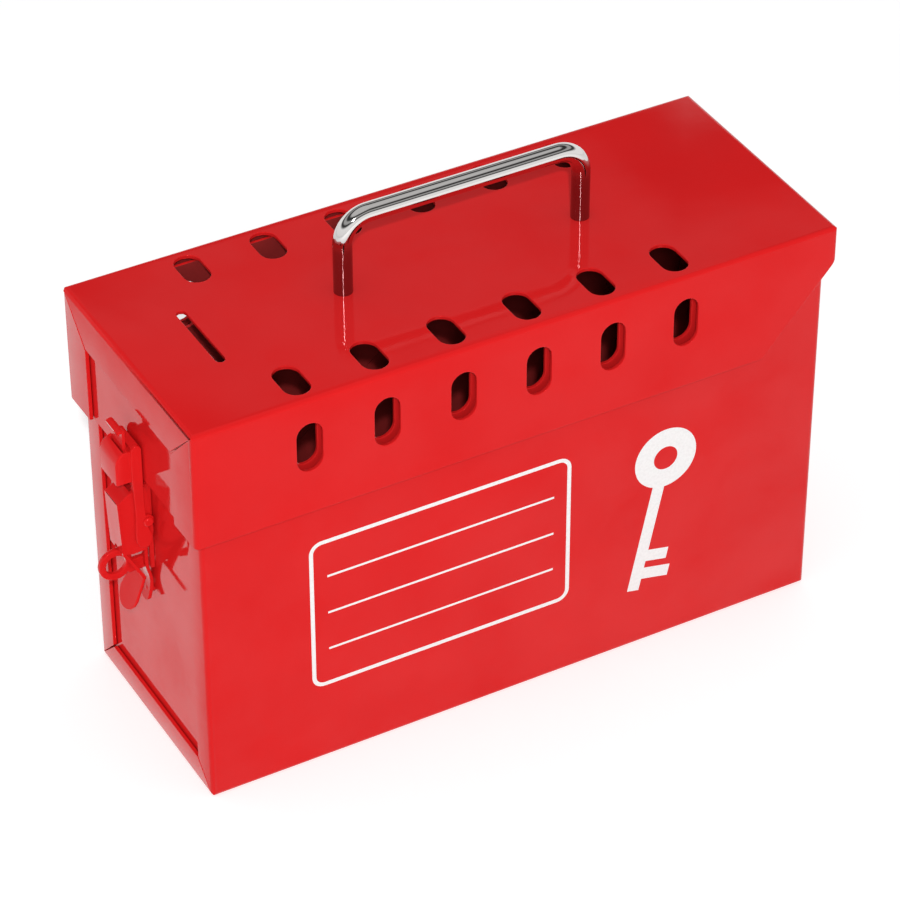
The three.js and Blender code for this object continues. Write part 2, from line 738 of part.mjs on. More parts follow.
function lever() {
  const faceTop = leverPivotHeight - leverFaceTopDrop;
  const faceLow = leverPivotHeight - leverFaceLowDrop;
  const half = latchPlate / 2;
  const face = alongY(bentStrip(outPoints([
    [leverFaceTopOut - half, faceTop],
    [leverFaceLowOut - half, faceLow],
    [leverWaistOut - half, leverWaistHeight],
    [leverTipOut - half, leverTipHeight],
  ]), latchPlate, latchBend), -leverTongueHalfWidth, leverTongueHalfWidth);
  const bodyFront = block(
    outX(leverFaceTopOut + overrun), outX(0), -leverHalfWidth, leverHalfWidth,
    leverWaistHeight, leverPivotHeight,
  );
  const tongueFront = alongX(roundedRect(
    -leverTongueHalfWidth, leverTongueHalfWidth, leverTipHeight - overrun, leverWaistHeight,
    leverTongueHalfWidth, leverTongueHalfWidth - leverHalfWidth,
  ), outX(leverFaceTopOut + overrun), outX(0), pinSteps);
  const plate = face.intersect(bodyFront.add(tongueFront));
  const heelLow = faceLow - leverSlotClearance;
  const cheekShape = wrapped([
    ...ringPoints(outX(leverPivotOut), leverPivotHeight, leverPivotRim),
    ...outPoints([
      [leverFaceTopOut, faceTop],
      [leverFaceLowOut, faceLow],
      [leverFaceLowOut - leverHeelBend, heelLow],
      [leverHeelOut + leverHeelBend, heelLow],
      [leverHeelOut + leverHeelBend / 3, heelLow + leverHeelBend / 2],
      [leverHeelOut, heelLow + 2 * leverHeelBend],
      [leverHeelOut, heelLow + leverHeelRun],
    ]),
  ]);
  const cheeks = onBothSides(leverHalfWidth - latchPlate, leverHalfWidth, (y0, y1) => (
    alongY(cheekShape, y0, y1)
  ));
  const slotHalf = eyeThickness / 2 + leverSlotClearance;
  const slotReach = eyeRadius + 2 * leverSlotClearance + latchPlate / 2;
  const slot = alongX(
    obround(0, eyeHeight, 2 * slotHalf, 2 * slotReach), outX(leverFaceTopOut + overrun), outX(0),
    smallArcSteps,
  );
  const bore = latchPinRadius + latchPinClearance;
  const reach = leverHalfWidth + overrun;
  return cutBy(joined([plate, ...cheeks]), [
    slot,
    pinAlongY(outX(leverPivotOut), leverPivotHeight, bore, -reach, reach),
    pinAlongY(outX(linkPivotOut), linkPivotHeight, bore, -reach, reach),
  ]);
}

function link() {
  const neckTop = linkPivotHeight + linkArmNeckRise;
  const faceLow = linkPivotHeight + linkFaceRise;
  const faceTop = linkPivotHeight + linkFaceTopRise;
  const lowArm = wrapped([
    ...ringPoints(outX(linkPivotOut), linkPivotHeight, linkArmRadius),
    ...ringPoints(outX(linkFootOut), linkPivotHeight - linkFootBelow, linkFootRadius),
    ...outPoints([[linkArmBack, neckTop], [linkArmFront, neckTop]]),
  ]);
  const barBack = linkBarOut - linkBarDepth / 2;
  const yoke = outline(outPoints([
    [linkArmFront, neckTop],
    [linkArmFront, faceLow],
    [linkFaceOut, faceLow],
    [linkFaceOut, linkPivotHeight + linkFaceBendRise],
    [linkFaceTopOut, faceTop],
    [linkBarOut + linkBarDepth, linkTop + linkBarRim],
    [barBack, linkTop + linkBarRim],
    [barBack, linkTop - latchPlate - linkBarRim],
    [linkArmBack, neckTop],
  ]));
  const arms = [lowArm, yoke].flatMap((shape) => onBothSides(linkInner, linkOuter, (y0, y1) => (
    alongY(shape, y0, y1)
  )));
  const half = latchPlate / 2;
  const face = alongY(bentStrip(outPoints([
    [linkFaceOut - half, faceLow],
    [linkFaceOut - half, linkPivotHeight + linkFaceBendRise],
    [linkFaceTopOut, faceTop - half],
  ]), latchPlate, latchBend), -linkOuter, linkOuter);
  const bar = block(
    outX(barBack + linkBarDepth), outX(barBack), -linkOuter, linkOuter, linkTop - latchPlate, linkTop,
  );
  const reach = linkOuter + overrun;
  const bore = latchPinRadius + latchPinClearance;
  return cutBy(joined([...arms, face, bar]), [
    pinAlongY(outX(linkPivotOut), linkPivotHeight, bore, -reach, reach),
  ]);
}

function keeper() {
  const backOut = bodyPlateLeft - lidPlateFace + seatGap;
  const middleOut = backOut + latchPlate / 2;
  const floor = linkTop - latchPlate - hookGap - latchPlate / 2;
  const lipTop = linkTop + hookLipRise;
  const strip = alongY(bentStrip(outPoints([
    [middleOut, keeperBottom],
    [middleOut, floor],
    [hookLipOut, floor],
    [hookLipOut, lipTop],
    [hookRollOut, lipTop - hookRollDrop],
  ]), latchPlate, hookBend), -keeperHalfWidth, keeperHalfWidth);
  const plateFront = alongX(roundedRect(
    -keeperHalfWidth, keeperHalfWidth, keeperBottom, floor + latchPlate, keeperCorner, 0,
  ), outX(backOut + latchPlate), outX(backOut), smallArcSteps);
  const hookFront = block(
    outX(hookRollOut + overrun), outX(backOut), -hookHalfWidth, hookHalfWidth,
    floor - latchPlate, lipTop + overrun,
  );
  const front = outX(backOut + latchPlate);
  return cutBy(strip.intersect(plateFront.add(hookFront)), keeperRivetPlaces.map(
    ([y, z]) => rivetHole(front, outX(backOut), y, z),
  ));
}

function leverPin() {
  return pinAlongY(
    outX(leverPivotOut), leverPivotHeight, latchPinRadius, -leverHalfWidth, leverHalfWidth,
  );
}

function linkPin() {
  const inner = linkOuter + footGap;
  const outer = inner + latchPinHeadLength;
  const x = outX(linkPivotOut);
  return joined([
    pinAlongY(x, linkPivotHeight, latchPinRadius, -outer, outer),
    pinAlongY(x, linkPivotHeight, latchPinHeadRadius, -outer, -inner),
    pinAlongY(x, linkPivotHeight, latchPinHeadRadius, inner, outer),
  ]);
}

function buildBody() {
  addPiece('body_shell', bodyShell(), redPaint);
  addPiece('body_latch_end', bodyEndPlate(bodyPlateLeft, bodyLatchRivets), redPaint);
  addPiece('body_hinge_end', bodyEndPlate(bodyPlateRight - sheet, hingeBodyRivets), redPaint);
  hingeBodyRivets.forEach(([y, z], k) => {
    const head = bodyPlateRight + seatGap + hingeLeaf;
    addPiece(`hinge_body_rivet_${k + 1}`, rivet(head, bodyPlateRight - sheet, y, z), redPaint);
  });
  addPiece('hinge_body_leaf', hingeLeafSolid(
    0, bodyPlateRight + seatGap, hingeZ, hingeZ - hingeLeafHeight, hingeBodyRivets,
  ), redPaint);
  addPiece('hinge_pin', hingePin(), zincSteel);
}

function buildLid() {
  addPiece('lid_shell', lidShell(), redPaint);
  addPiece('lid_latch_end', lidEndPlate(), redPaint);
  const leafBack = lidRight - sheet - seatGap - hingeLeaf;
  addPiece('hinge_lid_leaf', hingeLeafSolid(
    1, leafBack, hingeZ, hingeZ + hingeLidLeafHeight, hingeLidRivets,
  ), redPaint);
  hingeLidRivets.forEach(([y, z], k) => {
    addPiece(`hinge_lid_rivet_${k + 1}`, rivet(lidRight, leafBack, y, z), redPaint);
  });
  addPiece('handle', handleRodSolid(), chromePlate);
  handleFeet.forEach((x, k) => {
    addPiece(`handle_screw_${k + 1}`, handleScrew(x), zincSteel);
    addPiece(`handle_washer_${k + 1}`, handleWasherSolid(x), zincSteel);
  });
}

function buildLatch() {
  addPiece('latch_base', latchBase(), redPaint);
  addPiece('padlock_eye', padlockEye(), redPaint);
  const tail = bodyPlateLeft + sheet;
  latchBaseRivets.forEach(([y, z], k) => {
    addPiece(`latch_base_rivet_${k + 1}`, rivet(outX(baseFrontOut), tail, y, z), redPaint);
  });
  const eyeFoot = outX(baseFrontOut + seatGap + eyeFootThickness);
  addPiece('padlock_eye_rivet', rivet(eyeFoot, tail, eyeRivetPlace[0], eyeRivetPlace[1]), redPaint);
  addPiece('lever_pivot_pin', leverPin(), redPaint);
  addPiece('latch_lever', lever(), redPaint);
  addPiece('link_pivot_pin', linkPin(), redPaint);
  addPiece('latch_link', link(), redPaint);
  addPiece('keeper_hook', keeper(), redPaint);
  keeperRivetPlaces.forEach(([y, z], k) => {
    const head = lidPlateFace - seatGap - latchPlate;
    addPiece(`keeper_rivet_${k + 1}`, rivet(head, lidPlateFace + sheet, y, z), redPaint);
  });
}

buildBody();
buildLid();
buildLatch();

export default box;
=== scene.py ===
"""Group lockout box: a red enamelled steel box with a slotted hinged lid, a chrome carrying handle
and a draw latch with a padlock eye. Metres, +Z up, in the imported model's own frame."""
import json
import math

import bmesh
import bpy
from mathutils import Matrix, Vector


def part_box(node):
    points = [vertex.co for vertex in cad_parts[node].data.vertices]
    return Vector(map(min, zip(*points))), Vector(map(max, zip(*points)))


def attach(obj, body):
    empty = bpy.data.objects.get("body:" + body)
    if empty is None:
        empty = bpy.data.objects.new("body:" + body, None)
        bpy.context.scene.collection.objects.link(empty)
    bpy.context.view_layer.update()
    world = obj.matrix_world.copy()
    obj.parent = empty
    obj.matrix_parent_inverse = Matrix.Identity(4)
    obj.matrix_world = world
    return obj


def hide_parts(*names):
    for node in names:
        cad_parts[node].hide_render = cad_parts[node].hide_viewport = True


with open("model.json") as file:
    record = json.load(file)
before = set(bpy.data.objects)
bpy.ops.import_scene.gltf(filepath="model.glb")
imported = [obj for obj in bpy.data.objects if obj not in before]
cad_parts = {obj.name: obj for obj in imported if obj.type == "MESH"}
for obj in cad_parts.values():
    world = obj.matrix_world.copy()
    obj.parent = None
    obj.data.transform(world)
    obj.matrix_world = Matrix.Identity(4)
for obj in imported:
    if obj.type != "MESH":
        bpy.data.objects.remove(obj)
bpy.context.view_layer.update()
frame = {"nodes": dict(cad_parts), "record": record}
NODES = frame["nodes"]
BODY_OF = {n: body for body, names in frame["record"]["behaviour"]["bodies"].items() for n in names}
SLOT_OF = {part["node"]: part["material_slot"] for part in frame["record"]["subparts"]}

MM = 0.001
# Points closer than this are one point
TOUCHING = 0.001 * MM


# Camera: an orbit round the box's middle, found from the photograph's box corners
VIEW_AZIMUTH = math.radians(-29.0)
VIEW_ELEVATION = math.radians(37.33)
VIEW_ROLL = math.radians(-0.1)
VIEW_DISTANCE = 1471.8 * MM
VIEW_TARGET = Vector((0, 0, 76.2 * MM))
VIEW_ASIDE = -1.7 * MM
VIEW_UP = 2.7 * MM
LENS = 160.3
SENSOR = 36.0
CLIP_NEAR = 10 * MM
CLIP_FAR = 100.0


def towards(azimuth, elevation):
    """The unit vector out from the box; azimuth 0 is the front and turns towards the right end."""
    flat = math.cos(elevation)
    return Vector((math.sin(azimuth) * flat, -math.cos(azimuth) * flat, math.sin(elevation)))


def add_camera():
    data = bpy.data.cameras.new("camera")
    data.lens = LENS
    data.sensor_width = SENSOR
    data.sensor_fit = "HORIZONTAL"
    data.clip_start = CLIP_NEAR
    data.clip_end = CLIP_FAR
    camera = bpy.data.objects.new("camera", data)
    bpy.context.scene.collection.objects.link(camera)
    back = towards(VIEW_AZIMUTH, VIEW_ELEVATION)
    right = Vector((0, 0, 1)).cross(back).normalized()
    up = back.cross(right)
    facing = Matrix((right, up, back)).transposed().to_4x4() @ Matrix.Rotation(VIEW_ROLL, 4, "Z")
    place = VIEW_TARGET + back * VIEW_DISTANCE + right * VIEW_ASIDE + up * VIEW_UP
    camera.matrix_world = Matrix.Translation(place) @ facing
    bpy.context.scene.camera = camera


# World: its light on surfaces, and apart from that what the camera and mirrors see of it
WORLD_LIGHT = 0.5
# (sine of the height, brightness): a white backdrop, then two lit panels between dim bands
CEILING = (
    (0.0, 1.0), (0.3, 1.0), (0.42, 0.05), (0.5, 0.05), (0.56, 0.42), (0.66, 0.42), (0.72, 0.04),
    (0.82, 0.04), (0.88, 0.6), (1.0, 0.6),
)


def shown_ray(tree):
    """1 for what the camera, a mirror or glass sees, 0 for light that falls on surfaces."""
    path = tree.nodes.new("ShaderNodeLightPath")
    shown = path.outputs["Is Camera Ray"]
    for kind in ("Is Glossy Ray", "Is Transmission Ray"):
        either = tree.nodes.new("ShaderNodeMath")
        either.operation = "MAXIMUM"
        tree.links.new(shown, either.inputs[0])
        tree.links.new(path.outputs[kind], either.inputs[1])
        shown = either.outputs[0]
    return shown


def light_world():
    world = bpy.data.worlds.new("studio")
    bpy.context.scene.world = world
    world.use_nodes = True
    tree = world.node_tree
    background = tree.nodes["Background"]
    background.inputs["Color"].default_value = (1, 1, 1, 1)
    ways = tree.nodes.new("ShaderNodeTexCoord")
    split = tree.nodes.new("ShaderNodeSeparateXYZ")
    tree.links.new(ways.outputs["Generated"], split.inputs["Vector"])
    ceiling = tree.nodes.new("ShaderNodeValToRGB")
    stops = ceiling.color_ramp.elements
    while len(stops) < len(CEILING):
        stops.new(1.0)
    for stop, (place, bright) in zip(stops, CEILING):
        stop.position = place
        stop.color = (bright, bright, bright, 1)
    tree.links.new(split.outputs["Z"], ceiling.inputs["Fac"])
    level = tree.nodes.new("ShaderNodeMapRange")
    level.inputs["To Min"].default_value = WORLD_LIGHT
    tree.links.new(ceiling.outputs["Color"], level.inputs["To Max"])
    tree.links.new(shown_ray(tree), level.inputs["Value"])
    tree.links.new(level.outputs["Result"], background.inputs["Strength"])


# Floor: white paper that glows a little to the camera, so that it meets the white backdrop
FLOOR_COLOUR = (0.86, 0.86, 0.86, 1)
FLOOR_ROUGHNESS = 0.9
FLOOR_GLOW = 0.4
FLOOR_HALF = 6.0


def floor_paper():
    material, tree, shader = new_material("floor_paper")
    shader.inputs["Base Color"].default_value = FLOOR_COLOUR
    shader.inputs["Roughness"].default_value = FLOOR_ROUGHNESS
    shader.inputs["Specular IOR Level"].default_value = 0
    glow = tree.nodes.new("ShaderNodeMath")
    glow.operation = "MULTIPLY"
    glow.inputs[1].default_value = FLOOR_GLOW
    tree.links.new(shown_ray(tree), glow.inputs[0])
    shader.inputs["Emission Color"].default_value = (1, 1, 1, 1)
    tree.links.new(glow.outputs[0], shader.inputs["Emission Strength"])
    return material


def add_floor():
    mesh = bpy.data.meshes.new("floor")
    work = bmesh.new()
    bmesh.ops.create_grid(work, x_segments=1, y_segments=1, size=FLOOR_HALF)
    work.to_mesh(mesh)
    work.free()
    floor = bpy.data.objects.new("floor", mesh)
    bpy.context.scene.collection.objects.link(floor)
    mesh.materials.append(floor_paper())


# Lamps (elevation, size, power): both stand behind the camera, a little to its right. The small
# key lamp is the higher one. The soft lamp, at about the camera's elevation, draws the fine lines
# on the handle and the lid.
LAMP_AIM = Vector((0, 0, 80 * MM))
LAMP_AZIMUTH = math.radians(-27.9)
LAMP_DISTANCE = 2.4
KEY_LAMP = (math.radians(39.9), (0.045, 0.045), 20.0)
SOFT_LAMP = (math.radians(36.8), (0.165, 0.24), 9.4)


def add_lamp(name, elevation, size, power):
    data = bpy.data.lights.new(name, "AREA")
    data.shape = "RECTANGLE"
    data.size, data.size_y = size
    data.energy = power
    lamp = bpy.data.objects.new(name, data)
    bpy.context.scene.collection.objects.link(lamp)
    place = LAMP_AIM + towards(LAMP_AZIMUTH, elevation) * LAMP_DISTANCE
    lamp.location = place
    lamp.rotation_euler = (LAMP_AIM - place).to_track_quat("-Z", "Y").to_euler()


# Materials, all on Object coordinates. A noise is (scale, detail, roughness), a span is the part
# of its values that is used, and a grain is (noise, depth, strength) of a bump.
def new_material(name):
    material = bpy.data.materials.new(name)
    material.use_nodes = True
    tree = material.node_tree
    return material, tree, tree.nodes["Principled BSDF"]


def object_coordinates(tree):
    return tree.nodes.new("ShaderNodeTexCoord").outputs["Object"]


def object_noise(tree, noise):
    node = tree.nodes.new("ShaderNodeTexNoise")
    for name, value in zip(("Scale", "Detail", "Roughness"), noise):
        node.inputs[name].default_value = value
    tree.links.new(object_coordinates(tree), node.inputs["Vector"])
    return node.outputs["Fac"]


def varied(tree, socket, noise, span, target):
    """Lets a noise carry a socket's value from one end of the target to the other."""
    carry = tree.nodes.new("ShaderNodeMapRange")
    carry.inputs["From Min"].default_value, carry.inputs["From Max"].default_value = span
    carry.inputs["To Min"].default_value, carry.inputs["To Max"].default_value = target
    tree.links.new(object_noise(tree, noise), carry.inputs["Value"])
    tree.links.new(carry.outputs["Result"], socket)


def bumped(tree, shader, grain, below=None):
    noise, depth, strength = grain
    bump = tree.nodes.new("ShaderNodeBump")
    bump.inputs["Strength"].default_value = strength
    bump.inputs["Distance"].default_value = depth
    tree.links.new(object_noise(tree, noise), bump.inputs["Height"])
    if below is not None:
        tree.links.new(below, bump.inputs["Normal"])
    tree.links.new(bump.outputs["Normal"], shader.inputs["Normal"])
    return bump.outputs["Normal"]


def tinted(tree, shader, value, span, colours):
    """Fades the base colour between two colours as the value crosses the span."""
    ramp = tree.nodes.new("ShaderNodeValToRGB")
    for stop, place, colour in zip(ramp.color_ramp.elements, span, colours):
        stop.position = place
        stop.color = colour
    tree.links.new(value, ramp.inputs["Fac"])
    tree.links.new(ramp.outputs["Color"], shader.inputs["Base Color"])


def plain_finish(name, noise, span, colours, roughness, grain, specular=0.5, metallic=0.0):
    material, tree, shader = new_material(name)
    tinted(tree, shader, object_noise(tree, noise), span, colours)
    shader.inputs["Roughness"].default_value = roughness
    shader.inputs["Specular IOR Level"].default_value = specular
    shader.inputs["Metallic"].default_value = metallic
    bumped(tree, shader, grain)
    return material


RED_COLOURS = ((0.735, 0.015, 0.016, 1), (0.76, 0.0165, 0.0175, 1))
RED_PATCHES = (22, 3, 0.5)
RED_PATCH_SPAN = (0.35, 0.65)
RED_SHEEN = (1, 0.1, 0.11, 1)
RED_SMEARS = (60, 4, 0.6)
RED_SMEAR_SPAN = (0.35, 0.7)
RED_ROUGHNESS = (0.05, 0.1)
RED_HAZE = (27, 5, 0.62)
RED_HAZE_SPAN = (0.36, 0.62)
RED_SPECULAR = (0.15, 0.38)
RED_WAVES = ((45, 1, 0.5), 0.25 * MM, 0.35)
RED_GRAIN = ((520, 1.5, 0.5), 0.012 * MM, 0.6)


def red_enamel():
    material, tree, shader = new_material("red_enamel")
    tinted(tree, shader, object_noise(tree, RED_PATCHES), RED_PATCH_SPAN, RED_COLOURS)
    varied(tree, shader.inputs["Roughness"], RED_SMEARS, RED_SMEAR_SPAN, RED_ROUGHNESS)
    varied(tree, shader.inputs["Specular IOR Level"], RED_HAZE, RED_HAZE_SPAN, RED_SPECULAR)
    shader.inputs["Specular Tint"].default_value = RED_SHEEN
    waves = bumped(tree, shader, RED_WAVES)
    bumped(tree, shader, RED_GRAIN, below=waves)
    return material


# Painted shade: the legs' chrome is painted darker than the bar's, the tone changing over these heights
CHROME_SHADE_HEIGHTS = (0.183, 0.193)
CHROME_SHADE_COLOURS = ((0.3, 0.27, 0.28, 1), (0.72, 0.7, 0.685, 1))
CHROME_SMEARS = (350, 3, 0.5)
CHROME_ROUGHNESS = (0.04, 0.1)
CHROME_GRAIN = ((260, 2, 0.5), 0.01 * MM, 0.5)


def chrome_plating():
    material, tree, shader = new_material("chrome_plating")
    split = tree.nodes.new("ShaderNodeSeparateXYZ")
    tree.links.new(object_coordinates(tree), split.inputs["Vector"])
    # Painted shade: a dark base colour on the legs, a light one on the bar
    tinted(tree, shader, split.outputs["Z"], CHROME_SHADE_HEIGHTS, CHROME_SHADE_COLOURS)
    shader.inputs["Metallic"].default_value = 1
    varied(tree, shader.inputs["Roughness"], CHROME_SMEARS, (0, 1), CHROME_ROUGHNESS)
    bumped(tree, shader, CHROME_GRAIN)
    return material


FINISH = {
    "red_gloss": red_enamel(),
    "chrome_rod": chrome_plating(),
    "zinc_steel": plain_finish(
        "zinc_plating", noise=(140, 3, 0.5), span=(0.3, 0.7),
        colours=((0.42, 0.43, 0.45, 1), (0.62, 0.62, 0.6, 1)),
        roughness=0.34, metallic=1, grain=((700, 2, 0.5), 0.015 * MM, 0.6),
    ),
}
# Painted shade: a dark red on the faces inside the box, standing for the dark that fills it
INSIDE_SHADE = plain_finish(
    "inside_painted_shade", noise=(30, 4, 0.6), span=(0.3, 0.7),
    colours=((0.26, 0.02, 0.02, 1), (0.35, 0.026, 0.025, 1)),
    roughness=0.45, specular=0.25, grain=((600, 2, 0.5), 0.02 * MM, 0.6),
)
WHITE_PRINT = plain_finish(
    "white_print", noise=(900, 3, 0.5), span=(0.3, 0.6),
    colours=((0.9, 0.895, 0.89, 1), (0.97, 0.97, 0.965, 1)),
    roughness=0.4, specular=0.3, grain=((1500, 2, 0.5), 0.006 * MM, 0.5),
)


def finish_nodes():
    for name, node in NODES.items():
        node.data.materials.clear()
        node.data.materials.append(FINISH[SLOT_OF[name]])


# Pieces
SMOOTH_BELOW = math.radians(32)


def smooth_faces(work):
    """Smooth shading that breaks at every edge sharper than the limit."""
    for face in work.faces:
        face.smooth = True
    for edge in work.edges:
        edge.smooth = len(edge.link_faces) != 2 or edge.calc_face_angle() < SMOOTH_BELOW


def add_piece(name, work, body, slot, replaced=()):
    mesh = bpy.data.meshes.new(name)
    work.to_mesh(mesh)
    work.free()
    piece = bpy.data.objects.new(name, mesh)
    bpy.context.scene.collection.objects.link(piece)
    mesh.materials.append(FINISH[slot])
    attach(piece, body)
    if replaced:
        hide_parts(*replaced)
    return piece


def add_instead(node, name, work):
    """A smooth piece in a CAD node's place, on the same body and in the same slot."""
    smooth_faces(work)
    return add_piece(name, work, BODY_OF[node], SLOT_OF[node], (node,))


# Rounded edges, as painted sheet has them. The clamp keeps a narrow piece's bevels apart.
SHARP_ABOVE = math.radians(38)
SHELL_BEVEL = 0.3 * MM
PLATE_BEVEL = 0.2 * MM
HOOK_BEVEL = 0.35 * MM
HINGE_BEVEL = 0.12 * MM
LEVER_BEVEL = 0.4 * MM
LEVER_TOP_BEVEL = 0.2 * MM
BASE_BEVEL = 0.25 * MM
EYE_BEVEL = 0.45 * MM
HOOD_BEVEL = 0.2 * MM
ARM_BEVEL = 0.3 * MM
# A copy of a CAD node merges points within this distance and faces within this angle
COPY_MERGE = 0.002 * MM
COPY_FLAT = math.radians(0.5)


def round_edges(piece, width, clamp=True, segments=2):
    edge = piece.modifiers.new("rounded_edges", "BEVEL")
    edge.width = width
    edge.segments = segments
    edge.limit_method = "ANGLE"
    edge.angle_limit = SHARP_ABOVE
    edge.use_clamp_overlap = clamp
    edge.harden_normals = True


def fine_copy(name, bevel, clamp=True):
    """A merged copy of a CAD node with its sharp edges rounded."""
    work = bmesh.new()
    work.from_mesh(NODES[name].data)
    bmesh.ops.remove_doubles(work, verts=work.verts, dist=COPY_MERGE)
    bmesh.ops.dissolve_limit(
        work, angle_limit=COPY_FLAT, use_dissolve_boundaries=False,
        verts=work.verts, edges=work.edges,
    )
    piece = add_instead(name, name + "_finished", work)
    round_edges(piece, bevel, clamp)
    return piece


# Inner faces lie at least this far inside a shell's outer box
INSIDE_DEPTH = 0.8 * MM
# A face looks along X when its normal's X part is over this
FACES_X = 0.9


def shade_inside(name, piece):
    """Gives the painted inside shade to the faces inside a shell; the lid's shell is open below."""
    low, high = (Vector(corner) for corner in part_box(name))
    piece.data.materials.append(INSIDE_SHADE)
    for face in piece.data.polygons:
        above_low, below_high = face.center - low, high - face.center
        depths = [above_low.x, above_low.y, *below_high]
        if name == "body_shell":
            depths.append(above_low.z)
        if min(depths) >= INSIDE_DEPTH - TOUCHING:
            face.material_index = 1


def shade_plate_inside(piece):
    """Gives the painted inside shade to an end plate's side that faces the middle of the box."""
    piece.data.materials.append(INSIDE_SHADE)
    for face in piece.data.polygons:
        if face.normal.x * face.center.x < 0 and abs(face.normal.x) > FACES_X:
            face.material_index = 1


# Fasteners: turned profiles, placed by the CAD node's own box
TURN_STEPS = 36


def spun(work, points, edges, steps):
    """Spins a profile full round the Z axis."""
    bmesh.ops.spin(
        work, geom=points + edges, cent=(0, 0, 0), axis=(0, 0, 1), dvec=(0, 0, 0),
        angle=math.tau, steps=steps, use_merge=True, use_duplicate=False,
    )
    bmesh.ops.remove_doubles(work, verts=work.verts, dist=TOUCHING)


def add_turned(name, profile, place):
    """A piece turned from (distance along, radius) points, instead of the CAD node it is named by."""
    work = bmesh.new()
    points = [work.verts.new((radius, 0, distance)) for distance, radius in profile]
    spun(work, points, [work.edges.new(pair) for pair in zip(points, points[1:])], TURN_STEPS)
    bmesh.ops.recalc_face_normals(work, faces=work.faces)
    bmesh.ops.transform(work, matrix=place, verts=work.verts)
    add_instead(name, name + "_finished", work)


RIVET_HEAD = 2.1 * MM
RIVET_DOME = 1.0 * MM
RIVET_SHANK = 1.4 * MM
RIVET_TAIL = 0.6 * MM
RIVET_CHAMFER = 0.1 * RIVET_HEAD
DOME_STEPS = 8


def riveted(name, outward):
    """A domed rivet; outward is -1 or 1 along X."""
    low, high = (Vector(corner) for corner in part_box(name))
    grip = high.x - low.x - RIVET_DOME - RIVET_TAIL
    turns = [math.pi / 2 * k / DOME_STEPS for k in range(DOME_STEPS + 1)]
    profile = [(RIVET_DOME * math.cos(turn), RIVET_HEAD * math.sin(turn)) for turn in turns]
    profile += [
        (0, RIVET_SHANK), (-grip, RIVET_SHANK), (-grip, RIVET_HEAD - RIVET_CHAMFER),
        (-grip - RIVET_CHAMFER, RIVET_HEAD), (-grip - RIVET_TAIL, RIVET_HEAD), (-grip - RIVET_TAIL, 0),
    ]
    middle = (low + high) / 2
    middle.x = high.x - RIVET_DOME if outward > 0 else low.x + RIVET_DOME
    turn = Matrix.Rotation(outward * math.pi / 2, 4, "Y")
    add_turned(name, profile, Matrix.Translation(middle) @ turn)


# Pins: node, then the shank's radius, the head's radius and the head's length, in mm
PINS = (
    ("hinge_pin", 1.1, 1.7, 0.8), ("lever_pivot_pin", 1.1, 1.1, 0), ("link_pivot_pin", 1.1, 1.9, 0.9),
)
PIN_CHAMFER = 0.12


def pinned(name, shank, head, head_length):
    """A pin along Y with a chamfered end, or a chamfered head, on either side."""
    low, high = (Vector(corner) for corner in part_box(name))
    half = (high.y - low.y) / 2
    edge = head * PIN_CHAMFER
    profile = [(half, 0), (half, head - 2 * edge), (half - edge, head - edge / 2), (half - 2 * edge, head)]
    if head > shank:
        profile += [(half - head_length, head), (half - head_length, shank)]
    profile += [(-along, radius) for along, radius in reversed(profile)]
    turn = Matrix.Rotation(-math.pi / 2, 4, "X")
    add_turned(name, profile, Matrix.Translation((low + high) / 2) @ turn)


# Carrying handle: one bent rod, bored at its feet for the screws
ROD = 3.5 * MM
ROD_FACETS = 48
ROD_BEND = 10 * MM
ROD_BEND_STEPS = 18
ROD_BORE = 2.1 * MM
ROD_BORE_DEPTH = 14 * MM


def verts_of(geom):
    return [g for g in geom if isinstance(g, bmesh.types.BMVert)]


def ring_of(geom):
    corners = set(verts_of(geom))
    edges = [g for g in geom if isinstance(g, bmesh.types.BMEdge)]
    return [edge for edge in edges if all(v in corners for v in edge.verts)]


def rod_onwards(work, ring, offset):
    grown = bmesh.ops.extrude_edge_only(work, edges=ring)["geom"]
    bmesh.ops.translate(work, vec=offset, verts=verts_of(grown))
    return ring_of(grown)


def rod_bend(work, ring, centre):
    verts = list(dict.fromkeys(v for edge in ring for v in edge.verts))
    grown = bmesh.ops.spin(
        work, geom=ring + verts, cent=centre, axis=(0, 1, 0), dvec=(0, 0, 0),
        angle=math.pi / 2, steps=ROD_BEND_STEPS, use_merge=False, use_duplicate=False,
    )["geom_last"]
    return ring_of(grown)


def bored_end(work, ring, inwards):
    end = bmesh.ops.edgeloop_fill(work, edges=ring)["faces"]
    bmesh.ops.inset_region(work, faces=end, thickness=ROD - ROD_BORE, use_even_offset=True)
    grown = bmesh.ops.extrude_discrete_faces(work, faces=end)["faces"]
    bmesh.ops.translate(work, vec=inwards, verts=[v for face in grown for v in face.verts])


def carrying_handle():
    low, high = (Vector(corner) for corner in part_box("handle"))
    left, right, top = low.x + ROD, high.x - ROD, high.z - ROD
    work = bmesh.new()
    bmesh.ops.create_circle(
        work, cap_ends=False, segments=ROD_FACETS, radius=ROD,
        matrix=Matrix.Translation((left, 0, low.z)),
    )
    foot = work.edges[:]
    ring = rod_onwards(work, foot, (0, 0, top - ROD_BEND - low.z))
    ring = rod_bend(work, ring, (left + ROD_BEND, 0, top - ROD_BEND))
    ring = rod_onwards(work, ring, (right - left - 2 * ROD_BEND, 0, 0))
    ring = rod_bend(work, ring, (right - ROD_BEND, 0, top - ROD_BEND))
    ring = rod_onwards(work, ring, (0, 0, low.z - top + ROD_BEND))
    for end in (foot, ring):
        bored_end(work, end, (0, 0, ROD_BORE_DEPTH))
    bmesh.ops.recalc_face_normals(work, faces=work.faces)
    add_instead("handle", "carrying_handle", work)


# Front print: a ruled write-on panel and a plain key, in white ink on the front wall
PRINT_GAP = 0.01 * MM
PRINT_INK = 0.05 * MM
PRINT_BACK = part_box("body_shell")[0][1] - PRINT_GAP
